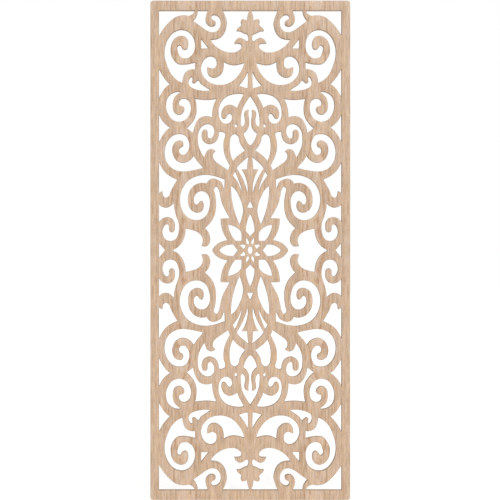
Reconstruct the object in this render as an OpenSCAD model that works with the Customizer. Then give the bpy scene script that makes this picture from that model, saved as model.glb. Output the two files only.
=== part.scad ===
// Fretwork wall panel: a fibreboard core with matched veneer leaves on both faces, glued up and then
// cut through with a scrollwork pattern that is the same in all four quarters.
// The panel stands in the XZ plane. The matched face looks along -Y and the back lies on y = 0.

/* [Panel] */
// Width of the panel, edge to edge
panel_w = 600; // [400:1:900]
// Height of the panel, edge to edge
panel_h = 1500; // [1000:1:2200]
// Radius of the four outer corners
corner_r = 9; // [3:0.5:15]

/* [Border] */
// Width of the plain border at each side
stile_w = 25.5; // [20:0.5:45]
// Height of the plain border at the top and at the bottom
rail_h = 29.5; // [20:0.5:60]

/* [Layers] */
// Thickness of the fibreboard core
core_t = 6; // [3:0.5:18]
// Thickness of the veneer leaves on the matched face
face_t = 0.6; // [0.5:0.1:2.5]
// Thickness of the veneer leaves on the back
back_t = 0.6; // [0.5:0.1:2.5]

/* [Sawing] */
// Radius that the cutter leaves in the windows' corners
cutter_r = 0.75; // [0.5:0.25:2]
// Radius of the pattern's tips after sanding
tip_r = 1; // [0.5:0.25:2]

/* [Hidden] */

// The pattern was drawn from a front view, where the cut wall of an edge that faces the panel's centre hides
// a strip of its window. Such an edge lies farther out than its line, by this share of its distance from the
// centre.
hidden_share = 0.005;

// Half the opening inside the border
open_x = panel_w/2 - stile_w;
open_z = panel_h/2 - rail_h;

// Farthest that a facet lies from the true curve, and the largest turn from one fillet facet to the next
facet_error = 0.5;
fillet_step = 45;
// Share of a stretch that one corner's fillet may take
fillet_share = 0.45;

// The pattern
// Each window is a list of knots [x, z], in millimetres from the panel's centre, anticlockwise.
// The outline runs smoothly through a knot, or turns sharply at one that is marked v.
v = 1;

// Windows that lie within one quarter
corner_window = [[273,717,v], [168,717,v], [173.5,709.5], [181,705], [200,706], [220,702.5], [240,688.5],
  [258.4,668.5], [273,646,v]];
rail_hook = [[157,717,v], [128,717,v], [133,704], [134.5,693], [131,680.5], [115,670], [105,675],
  [103.5,682], [107,690], [113,692.5], [116.5,697], [113,703.5], [104,704], [94,698], [88.5,684],
  [92,669], [102,657.5], [114,655], [130,660], [150,674], [170,688.5,v], [160,703]];
fleuron_window = [[81,717,v], [4,717,v], [9,700], [9.5,690,v], [16,693], [25,693.8], [28.3,688.5], [26.8,678],
  [30,673.2], [36,669], [41,656,v], [32,656], [20,650.5], [10,647], [6.5,640], [8.5,629], [20,634.5],
  [31,638.5], [41,634], [47,625], [48.5,618,v], [38,619], [29,617], [26.5,611], [34,601], [44,595.5],
  [57,594], [80,598.5], [100,610], [112,621], [118,631,v], [108,631], [90,637], [78,650], [71,670],
  [70,683], [74,700]];
great_scroll = [[166,613], [168,600], [174,588], [183,580], [197,576.5], [208,580], [215,590],
  [217.5,602], [216,611], [211,613.5], [206.5,608], [197,600.5], [188,604.5], [185.5,615], [188,632],
  [196,641.5], [208,644.5], [222,640], [233,628], [239,608], [238,589], [230,572], [219,560],
  [200,556.5], [182,558.5], [166,562.5,v], [166.5,543,v], [183,542], [195,534], [202,518],
  [204,503,v], [222,513], [237,529], [249,555], [256,585], [254,612], [244,636], [228,653],
  [207,660], [187,655], [173,641], [166.5,622]];
bar_triangle = [[126.5,606.7,v], [146.5,606.3,v], [146.7,632.5,v]];
upper_crescent = [[19,561,v], [24,545], [34,528], [47,513.5], [65,502], [91,496.5], [115,501],
  [134,514], [145,531], [147.3,544], [143,562], [133,575.5], [119,581], [107,577], [101,563],
  [103.5,551], [113,546], [121,547.8], [128.5,551.5,v], [129,540], [126,527.5], [117,519], [106,517],
  [91,524], [82,536], [79,552], [79,565,v], [65,557.5], [48,554.5], [32,557]];
stem_triangle = [[7,535,v], [6.5,520], [8,487,v], [20,490], [33,494.5,v], [20,510]];
stile_wedge_top = [[273,544,v], [259,518.5], [241.8,499,v], [254,489.5], [264,476.5], [273,460.5,v]];
bar_foot = [[120.5,480.7,v], [133,479], [150,480.5], [168,485], [179,491], [184.5,503], [182,512],
  [176,519], [173.7,514], [174.5,506], [170,500.5], [163,502.5], [157,508.5], [150,501], [136,490.5]];
square_window = [[101.7,453.6,v], [109,439], [113.5,420], [114.5,400,v], [128,403], [140,402.5],
  [152,397], [163,383], [169,366], [171.7,353,v], [189.5,366.5,v], [175,381], [165,397], [160.5,415],
  [160.5,430], [164.8,453.8,v], [148,451.5], [130,450.5], [115,451.5]];
middle_scroll = [[210.5,474.5,v], [218,469], [227,460], [232.5,445], [233,430], [229,416], [221,408],
  [213,406], [203,410], [197.5,419], [198,427.5], [204,433], [211,434.5], [213.5,441], [209,450.5],
  [200,454.5], [187,450], [179,435], [179.5,416], [188,399], [201,389], [215,386.5], [231,391],
  [244,405], [251,424], [251.5,440], [246,458], [235,469], [222,474]];
stile_wedge_middle = [[273,408,v], [260,384.5], [241,368.5,v], [252,360], [262,346.5], [273,326.5,v]];
petal_hook = [[20.5,467.5,v], [28,453], [35,440], [39,427.5,v], [49,434], [62,437.5], [76,432.5],
  [85,420], [87,407], [84.5,397], [79,393.7], [73,396], [68,404], [61,409.3], [55,402], [57,390.5],
  [64,382.5], [74,380.5], [88,389], [94.5,408], [93.5,424], [86,445], [70,460.5], [52,467], [33,469]];
eye = [[46.8,373.5], [43.2,377.8], [39.6,373.5], [43.2,369.2]];
lancet = [[46,348], [37,342], [31.5,324], [15.5,300,v], [30,290], [42,280], [51.5,268.5,v], [59,288],
  [61.5,308], [60,328], [55,343.5]];
inner_scroll = [[79.5,330], [80.5,312], [77,289], [70,271], [61.5,255,v], [67,240.5,v], [80,249.5],
  [93,258.5], [107,270], [111.8,281], [110.5,289], [103.5,296,v], [108,301], [117,304.3], [127,301],
  [134,291], [137.5,279,v], [149,297], [155.5,318], [156.3,340], [152,360], [140,374], [124,378],
  [112,371], [108,356], [112,343], [120,336], [125,338], [127.7,348], [129,358.5], [135,363],
  [141,361], [146,351], [145,337], [136,323], [123,318], [112,320], [101,328], [94.5,343],
  [93.5,354.6,v], [81,353.8], [77,351.8], [75.2,347]];
lower_scroll = [[142,247.3,v], [160,243], [180,239], [200,236.8], [220,239.5], [238,249], [250,265],
  [256,290], [253,313], [241,335], [226,346], [212,348.3], [196,344.5], [186,331], [183,316],
  [188,297], [200,286.7], [208,288.5], [213,297.5], [209.5,306.5], [202,311], [200,320], [205,328.3],
  [214,330], [227,323.5], [234,307], [232.5,288], [222,270.5], [204,262], [187,265.5], [174,276],
  [169,283.5,v], [160,269], [150,257.5]];
stile_sail = [[273,264.5,v], [263,244], [252,231], [238,221], [219.5,212,v], [230,194.5], [239,177],
  [244,163.5], [252,158.5], [259.5,162], [262,172], [262.5,179.5,v], [273,173,v]];
side_scroll = [[229.8,141,v], [228,125], [222,102], [215,81], [213.7,66], [217,47], [226,32.5],
  [238,28.3], [252,32], [261,45], [262.3,60], [260,67], [255,75.5], [250,78], [244.5,73], [244.3,64],
  [241,55.5], [235,53.5], [228.5,57], [225.3,70], [228,87], [237,97], [249,100], [262,96.5],
  [273,85,v], [273,140.5,v], [262,129.5], [252,127.5], [241,131]];
long_scroll = [[77,212.5,v], [77.3,200], [78.5,184,v], [82.3,194], [87,204.8], [97,211.5], [111,215.7],
  [121,213], [128,206.5], [131,200.3,v], [147,202.7], [162,198.5], [176,187.5], [185,170],
  [187.3,150], [184.5,133], [175,119], [158,112.5], [145,117], [139,130], [140,141.5], [146,149],
  [153,145], [159.5,137.5], [166,140.5], [168.5,153], [163,168], [150,176.7], [137,175.5],
  [125,163.5], [121.3,145], [123.5,125], [132,105.5], [147,93.5], [164,90.8], [184,96.8],
  [200,113], [209,138], [209.5,162], [201,188.5], [186,208], [164,220.5], [136,226], [110,223.3], [92,217.8]];
stem_sickle = [[5.3,280,v], [8,262], [8.8,243.5,v], [26.5,243.5,v], [19,232], [12,214], [8,196],
  [7.1,186], [9,171,v], [11.5,186], [16,200], [22,214], [30,229], [40,246.5,v], [31,258], [20,268]];
stem_needle = [[26,174.5,v], [31.2,191], [37.2,204], [45.7,216.3], [51.8,224.5,v], [45.5,235.5,v], [41,227],
  [34.6,210.5], [27.6,191]];
petal_blade = [[57.2,193,v], [46,183.5], [34,163.5], [25,141], [21.2,116], [25,98], [32,77.5,v],
  [40,96], [49,124], [54.5,150]];
petal_cell = [[26,28.5,v], [35,28.6], [44,29], [50,35], [59,51], [65,69], [65.5,76.5,v],
  [52,73.5], [36,64.5], [27.5,55], [26,45]];
seed_upper = [[3,24], [4.8,18.8], [9.5,19.5], [11.8,25], [12.3,33], [10.8,36], [7,31.5]];
seed_lower = [[14.3,15], [15.8,9], [18.8,4.4], [24,8.5], [29.5,14.8], [27,16.6], [18,16.5]];

QUARTER_WINDOWS = [corner_window, rail_hook, fleuron_window, great_scroll, bar_triangle,
  upper_crescent, stem_triangle, stile_wedge_top, bar_foot, square_window, middle_scroll,
  stile_wedge_middle, petal_hook, eye, lancet, inner_scroll, lower_scroll, stile_sail, side_scroll,
  long_scroll, stem_sickle, stem_needle, petal_blade, petal_cell, seed_upper, seed_lower];

// Right halves of windows that lie across the upright centre line
arch = [[0,316.5], [10,326], [17,340], [20,350.5,v], [8,362], [3.5,374], [3,388], [5,404],
  [5.5,413], [3.5,421.5,v], [10,421.5], [17.5,414], [17.5,405], [15.5,392], [19,376.5], [24.5,371.7],
  [27.5,376], [28.3,390], [26,410], [21,427], [12,444], [0,462,v]];
bud = [[0,42.5,v], [7,50.5], [13,57], [13,66], [10.5,80.5], [6,96], [0,108.5,v]];
stem_point = [[9,127.8,v], [0,148,v]];

UPRIGHT_WINDOWS = [arch, bud, stem_point];

// Upper halves of windows that lie across the level centre line
side_point = [[273,20.5,v], [264,9.5], [255.8,0,v]];
great_window = [[230,0], [223,4.8], [212,13.5], [202,27], [196,43], [193.3,64.5,v], [176,61],
  [157,53.5], [146,42.5], [142.5,29], [144.5,19], [146.3,12.2,v], [140,11.4], [133,11.2], [124,17.5],
  [119.5,32], [122,47], [129,60], [135.5,66,v], [126,75], [114,89.5], [105.5,109], [102,132], [102.8,152],
  [106,172], [108,184], [101.5,190.3], [95.5,184], [90,162], [84,139], [73,117], [61,96.5,v], [75,96],
  [89,95.3,v], [88,80], [83,58], [77,45], [68,30.5,v], [82,27.5], [98,20], [108,10], [113.7,0]];
petal_side = [[91.5,0], [86,6.5], [74,13.7], [60,17], [50.5,16.5], [45,9.5], [37.3,0,v]];

LEVEL_WINDOWS = [side_point, great_window, petal_side];

// Quarter of the oval in the middle
oval = [[7.6,0], [0,10.8]];

// Half the opening that the pattern was drawn for, where its farthest knots lie once they are moved outward
drawn_x = max([for (k = QUARTER_WINDOWS, p = k) p[0]])*(1 + hidden_share);
drawn_z = max([for (k = QUARTER_WINDOWS, p = k) p[1]])*(1 + hidden_share);

// Curves
function unit(d) = d/norm(d);
function angle_between(d, e) = acos(max(-1, min(1, unit(d)*unit(e))));
function left_of(d) = [-d[1], d[0]];
function turns_left(d, e) = left_of(d)*e > 0;

// Point of knot i and whether the outline turns sharply there, with i counted round the loop
function knot(k, i) = k[(i + len(k)) % len(k)];
function at(k, i) = [knot(k, i)[0], knot(k, i)[1]];
function sharp(k, i) = len(knot(k, i)) > 2;

// Heading at a smooth knot: that of the circle through the knot and its two neighbours
function heading(k, i) = let (a = at(k, i) - at(k, i - 1), b = at(k, i + 1) - at(k, i))
  unit(a/(a*a) + b/(b*b));
// Heading at a sharp end of a stretch that runs along the chord and has heading d at its other end
function matching(chord, d) = let (c = unit(chord)) 2*(d*c)*c - d;
// Headings at the start of the stretch after knot i, and at the end of the one before it
function leaving(k, i) = !sharp(k, i) ? heading(k, i)
  : let (chord = at(k, i + 1) - at(k, i)) sharp(k, i + 1) ? unit(chord) : matching(chord, heading(k, i + 1));
function arriving(k, i) = !sharp(k, i) ? heading(k, i)
  : let (chord = at(k, i) - at(k, i - 1)) sharp(k, i - 1) ? unit(chord) : matching(chord, heading(k, i - 1));

// Fillet at a sharp knot: [radius, distance from the knot to where it starts and ends]
function fillet_size(k, i) = let (
    d = arriving(k, i), e = leaving(k, i), half_turn = angle_between(d, e)/2,
    room = fillet_share*min(norm(at(k, i) - at(k, i - 1)), norm(at(k, i + 1) - at(k, i))),
    r = min(turns_left(d, e) ? cutter_r : tip_r, room/tan(half_turn)))
  [r, r*tan(half_turn)];
function fillet_start(k, i) = at(k, i) - fillet_size(k, i)[1]*arriving(k, i);
function fillet_end(k, i) = at(k, i) + fillet_size(k, i)[1]*leaving(k, i);
function fillet(k, i) = let (
    d = arriving(k, i), e = leaving(k, i), turn = angle_between(d, e),
    side = turns_left(d, e) ? 1 : -1, r = fillet_size(k, i)[0],
    centre = fillet_start(k, i) + side*r*left_of(d), steps = ceil(turn/fillet_step))
  [for (s = [0:steps]) let (a = s*turn/steps) centre + r*(sin(a)*d - side*cos(a)*left_of(d))];

// Points inside a stretch from p with heading d to q with heading e
function stretch(p, q, d, e) = let (
    chord = q - p, turn = angle_between(d, chord) + angle_between(chord, e),
    reach = norm(chord)/(3*pow(cos(turn/4), 2)),
    steps = max(1, ceil(sqrt(norm(chord)*turn*PI/180/(8*facet_error)))))
  [for (s = [1:1:steps - 1]) let (t = s/steps, u = 1 - t)
    u*u*u*p + 3*u*u*t*(p + reach*d) + 3*u*t*t*(q - reach*e) + t*t*t*q];

// All points of a closed outline
function outline(k) = [for (i = [0:len(k) - 1]) each concat(
  sharp(k, i) ? fillet(k, i) : [at(k, i)],
  stretch(sharp(k, i) ? fillet_end(k, i) : at(k, i),
          sharp(k, i + 1) ? fillet_start(k, i + 1) : at(k, i + 1),
          leaving(k, i), arriving(k, i + 1)))];

// Direction from the window into the wood, beside an outline of heading d
function outward(d) = -left_of(d);
// How far knot i moves outward for the strip that its wall hid. A corner moves to where its moved sides meet,
// but a needle's or a flat corner's sides meet too far off, so it moves along the middle between them.
function strip(p, n) = hidden_share*max(0, p*n);
function move(k, i) = let (
    p = at(k, i), a = outward(arriving(k, i)), b = outward(leaving(k, i)), middle = unit(a + b))
  abs(cross(a, b)) > 0.25 ? (strip(p, b)*left_of(a) - strip(p, a)*left_of(b))/cross(a, b)
    : strip(p, middle)*middle;

// A window's knots, moved outward and then to where the opening's real size puts them
function fitted(k) = [for (i = [0:len(k) - 1]) let (p = at(k, i) + move(k, i))
  concat([p[0]*open_x/drawn_x, p[1]*open_z/drawn_z], sharp(k, i) ? [v] : [])];
// A loop's other half, mirrored in the line x = 0 or z = 0 and read backwards, without what lies on the line
function flipped(p, axis) = axis == 0 ? concat([-p[0], p[1]], len(p) > 2 ? [v] : [])
  : concat([p[0], -p[1]], len(p) > 2 ? [v] : []);
function closed(k, axis) = concat(k, [for (i = [len(k) - 1:-1:0]) if (k[i][axis] != 0) flipped(k[i], axis)]);

// Windows of the sheet's quarters on the given sides, with -1 for left or bottom and 1 for right or top
module windows(sides_x, sides_z) {
  for (sx = sides_x, sz = sides_z, k = QUARTER_WINDOWS)
    mirror([sx < 0 ? 1 : 0, 0]) mirror([0, sz < 0 ? 1 : 0]) polygon(outline(fitted(k)));
  for (sz = sides_z, k = UPRIGHT_WINDOWS) mirror([0, sz < 0 ? 1 : 0]) polygon(outline(fitted(closed(k, 0))));
  for (sx = sides_x, k = LEVEL_WINDOWS) mirror([sx < 0 ? 1 : 0, 0]) polygon(outline(fitted(closed(k, 1))));
  polygon(outline(fitted(closed(closed(oval, 0), 1))));
}

// The sheet's quarters on the given sides, before it is sawn
module blank(sides_x, sides_z) {
  intersection() {
    offset(r = corner_r) square([panel_w - 2*corner_r, panel_h - 2*corner_r], center = true);
    translate([panel_w/2*min(0, min(sides_x)), panel_h/2*min(0, min(sides_z))])
      square([panel_w/2*len(sides_x), panel_h/2*len(sides_z)]);
  }
}

// A layer of the panel, with its back at the given depth behind the wall plane
module layer(depth, thickness, sides_x, sides_z) {
  translate([0, -depth, 0]) rotate([90, 0, 0]) linear_extrude(thickness) difference() {
    blank(sides_x, sides_z);
    windows(sides_x, sides_z);
  }
}

module core_board() { color([0.64, 0.53, 0.42]) layer(back_t, core_t, [-1, 1], [-1, 1]); }
module face_leaf(side_x, side_z) {
  color([0.82, 0.70, 0.60]) layer(back_t + core_t, face_t, [side_x], [side_z]);
}
module back_leaf(side_x) { color([0.78, 0.66, 0.54]) layer(0, back_t, [side_x], [-1, 1]); }

core_board();
face_leaf(-1, 1);  // face_leaf_top_left
face_leaf(1, 1);  // face_leaf_top_right
face_leaf(-1, -1);  // face_leaf_bottom_left
face_leaf(1, -1);  // face_leaf_bottom_right
back_leaf(-1);  // back_leaf_left
back_leaf(1);  // back_leaf_right
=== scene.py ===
# %% [markdown]
# # A fretwork wall panel in matched oak veneer
# The real object is one veneered board, 600 by 1500 mm and 7.2 mm thick, sawn right through with scrollwork.
# Seven solids come from the CAD: the fibreboard core, four veneer leaves on the front and two on the back.
# This lesson draws the same sawn outlines again as smooth curves, eases their edges as sandpaper does, and
# gives the oak, its cut edge and the fibreboard their finishes.

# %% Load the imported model
import math
import bmesh
import bpy
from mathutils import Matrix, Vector


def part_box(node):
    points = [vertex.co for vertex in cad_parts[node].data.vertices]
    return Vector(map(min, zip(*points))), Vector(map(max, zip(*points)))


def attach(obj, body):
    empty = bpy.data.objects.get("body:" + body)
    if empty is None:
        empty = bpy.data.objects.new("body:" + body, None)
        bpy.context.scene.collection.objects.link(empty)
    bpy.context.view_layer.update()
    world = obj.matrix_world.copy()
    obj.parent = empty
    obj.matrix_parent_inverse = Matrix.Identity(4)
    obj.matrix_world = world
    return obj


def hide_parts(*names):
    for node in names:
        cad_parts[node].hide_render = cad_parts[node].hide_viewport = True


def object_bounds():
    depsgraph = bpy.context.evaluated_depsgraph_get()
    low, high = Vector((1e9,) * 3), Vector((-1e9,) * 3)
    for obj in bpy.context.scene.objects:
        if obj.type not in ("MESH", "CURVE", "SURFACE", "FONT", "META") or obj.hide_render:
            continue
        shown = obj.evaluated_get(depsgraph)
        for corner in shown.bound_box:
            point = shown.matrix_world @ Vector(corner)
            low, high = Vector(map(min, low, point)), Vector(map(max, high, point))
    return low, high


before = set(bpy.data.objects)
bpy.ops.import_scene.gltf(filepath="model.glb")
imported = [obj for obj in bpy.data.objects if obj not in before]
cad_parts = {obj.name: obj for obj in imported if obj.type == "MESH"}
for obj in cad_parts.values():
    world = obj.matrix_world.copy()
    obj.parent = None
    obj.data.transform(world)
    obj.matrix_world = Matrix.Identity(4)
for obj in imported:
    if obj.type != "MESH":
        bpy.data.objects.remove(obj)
cad_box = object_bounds()
panel_low, panel_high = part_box("core_board")
PANEL_W = panel_high.x - panel_low.x
PANEL_H = panel_high.z - panel_low.z
MM = 0.001
print("The CAD has", len(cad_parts), "solids")
print("The panel measures", round(PANEL_W / MM), "by", round(PANEL_H / MM), "mm")

# %% [markdown]
# ## The camera
# The photograph is square and shows the panel straight from the front, upright edges parallel. The dark
# lines beside the windows are the cut walls. They are widest at the top, at the bottom and on the right, so
# the lens stood level with the panel's middle, close to it and left of its centre line. A shifted lens does
# that without turning the picture: the camera moves sideways and its shift brings the panel back. The
# panel's height in the picture is in pixels, and so is the way from the picture's middle to the panel's,
# first to the right and last upwards.

# %% Place the camera
SENSOR = 36.0
LENS = 36.0
PHOTO_SIDE = 500
PANEL_PIXELS = 499.6
PANEL_OFFSET = Vector((0.30, 0.0, -0.28))
CAMERA_LEFT = 0.15
VIEW_LIMIT = 60.0

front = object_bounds()[0].y
picture_width = PANEL_H * PHOTO_SIDE / PANEL_PIXELS
distance = LENS / SENSOR * picture_width
picture_centre = PANEL_OFFSET * (-picture_width / PHOTO_SIDE)
lens_data = bpy.data.cameras.new("front_camera")
lens_data.sensor_width = SENSOR
lens_data.lens = LENS
lens_data.shift_x = (picture_centre.x + CAMERA_LEFT) / picture_width
lens_data.clip_end = VIEW_LIMIT
camera = bpy.data.objects.new("front_camera", lens_data)
camera.location = (-CAMERA_LEFT, front - distance, picture_centre.z)
camera.rotation_euler = (math.radians(90.0), 0.0, 0.0)
bpy.context.scene.collection.objects.link(camera)
bpy.context.scene.camera = camera
bpy.context.scene.view_settings.view_transform = "Standard"
print("The camera stands", round(distance, 3), "m before the panel, shift", round(lens_data.shift_x, 3))

# %% [markdown]
# ## Helpers for node trees
# Every material and shape below is a tree of nodes. One helper adds a node and fills or joins its inputs, and
# another opens a group with named inputs and outputs.

# %% Node helpers
NODES_IN_ROW = 12
COLUMN_WIDTH, ROW_HEIGHT = 180, 220


def add(tree, kind, values=None, **settings):
    """Adds a node. values gives each named or numbered input a socket to join or a number to hold."""
    node = tree.nodes.new(kind)
    row, column = divmod(len(tree.nodes), NODES_IN_ROW)
    node.location = (COLUMN_WIDTH * column, -ROW_HEIGHT * row)
    for name, value in settings.items():
        setattr(node, name, value)
    for key, value in (values or {}).items():
        if isinstance(value, bpy.types.NodeSocket):
            tree.links.new(value, node.inputs[key])
        else:
            node.inputs[key].default_value = value
    return node


def new_group(name, kind, inputs, outputs):
    """Opens a node group and returns it with what it is given and what it gives back."""
    tree = bpy.data.node_groups.new(name, kind)
    for label, socket_type, start in inputs:
        socket = tree.interface.new_socket(label, in_out="INPUT", socket_type=socket_type)
        if start is not None:
            socket.default_value = start
    for label, socket_type in outputs:
        tree.interface.new_socket(label, in_out="OUTPUT", socket_type=socket_type)
    return tree, tree.nodes.new("NodeGroupInput").outputs, tree.nodes.new("NodeGroupOutput").inputs


def place(tree, group, values):
    """Places a group in a tree and fills its inputs."""
    kind = "GeometryNodeGroup" if tree.bl_idname == "GeometryNodeTree" else "ShaderNodeGroup"
    return add(tree, kind, values, node_tree=group)


print("Node helpers are ready")

# %% [markdown]
# Most nodes do arithmetic, so the common sums on numbers and on vectors get a helper each.

# %% Helpers for sums
def number(tree, operation, a, b=0.0, c=0.0):
    """A sum of one kind on up to three numbers or sockets."""
    return add(tree, "ShaderNodeMath", {0: a, 1: b, 2: c}, operation=operation).outputs[0]


def vector(tree, operation, a, b=(0.0, 0.0, 0.0)):
    """A sum of one kind on one or two vectors."""
    return add(tree, "ShaderNodeVectorMath", {0: a, 1: b}, operation=operation).outputs[0]


def scaled(tree, a, share):
    """A vector made longer or shorter."""
    return add(tree, "ShaderNodeVectorMath", {0: a, "Scale": share}, operation="SCALE").outputs[0]


def axes(tree, a):
    """The three parts of a vector, along x, y and z."""
    return add(tree, "ShaderNodeSeparateXYZ", {0: a}).outputs


def along_axes(tree, parts):
    """A vector from its parts, each numbered 0 to 2. A part that isn't given is 0."""
    return add(tree, "ShaderNodeCombineXYZ", parts).outputs[0]


print("Helpers for sums are ready")

# %% [markdown]
# Patterns are made of noises. A noise seldom comes near 0 or 1, so one helper moves the range that it keeps
# to. Blender mixes colours in linear values and a picture shows them otherwise, so another helper turns the
# one kind into the other.

# %% Helpers for noises and colours
NOISE_LOW, NOISE_HIGH = 0.3, 0.7


def noise(tree, where, rates, detail=2.0, roughness=0.5):
    """Noise from 0 to 1, with the spots' rate per metre along each axis."""
    return add(tree, "ShaderNodeTexNoise", {"Vector": vector(tree, "MULTIPLY", where, rates), "Scale": 1.0,
                                            "Detail": detail, "Roughness": roughness}).outputs[0]


def remap(tree, value, low, high, to_low=0.0, to_high=1.0, smooth=False):
    """Moves a value from one range to another and keeps it inside."""
    kind = "SMOOTHSTEP" if smooth else "LINEAR"
    return add(tree, "ShaderNodeMapRange", {0: value, 1: low, 2: high, 3: to_low, 4: to_high},
               interpolation_type=kind).outputs[0]


def spread(tree, value, to_low=0.0, to_high=1.0):
    """A noise moved to another range. Most of a noise lies between NOISE_LOW and NOISE_HIGH."""
    return remap(tree, value, NOISE_LOW, NOISE_HIGH, to_low, to_high)


def blend_numbers(tree, factor, a, b):
    """Mixes two numbers."""
    return add(tree, "ShaderNodeMix", {0: factor, 2: a, 3: b}).outputs[0]


def blend(tree, factor, a, b, kind="MIX"):
    """Mixes two colours."""
    return add(tree, "ShaderNodeMix", {0: factor, 6: a, 7: b}, data_type="RGBA", blend_type=kind).outputs[2]


def cover(tree, mask, strength, below, above):
    """A colour laid over another where a mask says so, up to the given strength."""
    return blend(tree, number(tree, "MULTIPLY", mask, strength), below, above)


def rgb(red, green, blue):
    """A colour as a picture shows it, 0 to 255, in the linear values that Blender mixes."""
    linear = [((c / 255 + 0.055) / 1.055) ** 2.4 if c > 10 else c / 255 / 12.92 for c in (red, green, blue)]
    return (*linear, 1.0)


print("A picture's middle grey is", round(rgb(128, 128, 128)[0], 3), "in linear values")

# %% [markdown]
# ## Floor, sky and sun
# The photograph has no background, so floor and sky show as white to the camera only. For the floor that is a
# dim surface with a glow, which add up to white where no shadow falls. To everything else it is a pale matt
# floor that lights the panel a little from below. All round, the sky gives plain soft light, and a wide sun
# from the upper right in front makes the walls that face down and left the darker ones, as they are in the
# photograph. The floor keeps a faint shadow of the panel.

# %% Tell the camera's rays from the others
WHITE = (1.0, 1.0, 1.0, 1.0)


def seen_directly(tree):
    """1 for rays that come from the camera, straight or by gloss or glass, and 0 for all others."""
    path = add(tree, "ShaderNodeLightPath").outputs
    return number(tree, "MAXIMUM", path["Is Camera Ray"],
                  number(tree, "MAXIMUM", path["Is Glossy Ray"], path["Is Transmission Ray"]))


def glow(tree, strength):
    """Plain white light from a surface."""
    return add(tree, "ShaderNodeEmission", {"Color": WHITE, "Strength": strength}).outputs[0]


def seen_or_not(tree, unseen, seen):
    """One shader for the light between surfaces and another for what the camera sees."""
    return add(tree, "ShaderNodeMixShader", {0: seen_directly(tree), 1: unseen, 2: seen}).outputs[0]


print("Helpers for floor and sky are ready")

# %% Lay the floor
FLOOR_SIZE = 14.0
FLOOR_COLOUR = rgb(222, 221, 219)
FLOOR_LIGHT = 0.27
FLOOR_SHADE = (0.42, 0.42, 0.42, 1.0)
FLOOR_SHOWN = 0.74


def stage_floor():
    """A pale floor under the panel's lower edge."""
    half, level = FLOOR_SIZE / 2, cad_box[0].z
    mesh = bpy.data.meshes.new("floor")
    corners = [(x, y, level) for x, y in ((-half, -half), (half, -half), (half, half), (-half, half))]
    mesh.from_pydata(corners, [], [(0, 1, 2, 3)])
    floor = bpy.data.objects.new("floor", mesh)
    bpy.context.scene.collection.objects.link(floor)
    finish = bpy.data.materials.new("pale_floor")
    finish.use_nodes = True
    tree = finish.node_tree
    tree.nodes.clear()
    matt = add(tree, "ShaderNodeBsdfDiffuse", {"Color": FLOOR_COLOUR}).outputs[0]
    lit = add(tree, "ShaderNodeAddShader", {0: matt, 1: glow(tree, FLOOR_LIGHT)}).outputs[0]
    dimmed = add(tree, "ShaderNodeBsdfDiffuse", {"Color": FLOOR_SHADE}).outputs[0]
    shown = add(tree, "ShaderNodeAddShader", {0: dimmed, 1: glow(tree, FLOOR_SHOWN)}).outputs[0]
    add(tree, "ShaderNodeOutputMaterial", {"Surface": seen_or_not(tree, lit, shown)})
    mesh.materials.append(finish)


stage_floor()
print("The floor lies at", round(cad_box[0].z, 4), "m")

# %% Hang the sky and the sun
SKY_STRENGTH = 0.585
SUN_STRENGTH = 1.42
SUN_WIDTH = math.radians(25.0)
SUN_AIM = Vector((-0.45, 0.8, -0.75))
SUN_AWAY = 3.0


def sky():
    """Even light from all round, and white where the camera sees it."""
    world = bpy.data.worlds.new("soft_sky")
    bpy.context.scene.world = world
    world.use_nodes = True
    tree = world.node_tree
    tree.nodes.clear()
    light, white = (add(tree, "ShaderNodeBackground", {"Color": WHITE, "Strength": strength}).outputs[0]
                    for strength in (SKY_STRENGTH, 1.0))
    add(tree, "ShaderNodeOutputWorld", {"Surface": seen_or_not(tree, light, white)})


def sun():
    """One wide sun, which lights the whole panel alike."""
    data = bpy.data.lights.new("soft_sun", "SUN")
    data.energy = SUN_STRENGTH
    data.angle = SUN_WIDTH
    lamp = bpy.data.objects.new("soft_sun", data)
    lamp.rotation_euler = SUN_AIM.to_track_quat("-Z", "Y").to_euler()
    lamp.location = -SUN_AWAY * SUN_AIM
    bpy.context.scene.collection.objects.link(lamp)


sky()
sun()
print("Sky", SKY_STRENGTH, "and sun", SUN_STRENGTH, "light the panel")

# %% [markdown]
# ## The sawn pattern
# The maker sawed each window along a drawn line. The line is kept here as knots, in millimetres from the
# panel's centre and anticlockwise, for one quarter of the panel. The line runs smoothly through a knot and
# turns sharply at one that is marked V. These are the same knots as in the CAD, so both have one outline.

# %% Knots of the windows within one quarter
V = True
CORNER_WINDOW = [(273, 717, V), (168, 717, V), (173.5, 709.5), (181, 705), (200, 706), (220, 702.5),
    (240, 688.5), (258.4, 668.5), (273, 646, V)]
RAIL_HOOK = [(157, 717, V), (128, 717, V), (133, 704), (134.5, 693), (131, 680.5), (115, 670), (105, 675),
    (103.5, 682), (107, 690), (113, 692.5), (116.5, 697), (113, 703.5), (104, 704), (94, 698),
    (88.5, 684), (92, 669), (102, 657.5), (114, 655), (130, 660), (150, 674), (170, 688.5, V), (160, 703)]
FLEURON_WINDOW = [(81, 717, V), (4, 717, V), (9, 700), (9.5, 690, V), (16, 693), (25, 693.8),
    (28.3, 688.5), (26.8, 678), (30, 673.2), (36, 669), (41, 656, V), (32, 656), (20, 650.5), (10, 647),
    (6.5, 640), (8.5, 629), (20, 634.5), (31, 638.5), (41, 634), (47, 625), (48.5, 618, V), (38, 619),
    (29, 617), (26.5, 611), (34, 601), (44, 595.5), (57, 594), (80, 598.5), (100, 610), (112, 621),
    (118, 631, V), (108, 631), (90, 637), (78, 650), (71, 670), (70, 683), (74, 700)]
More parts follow.
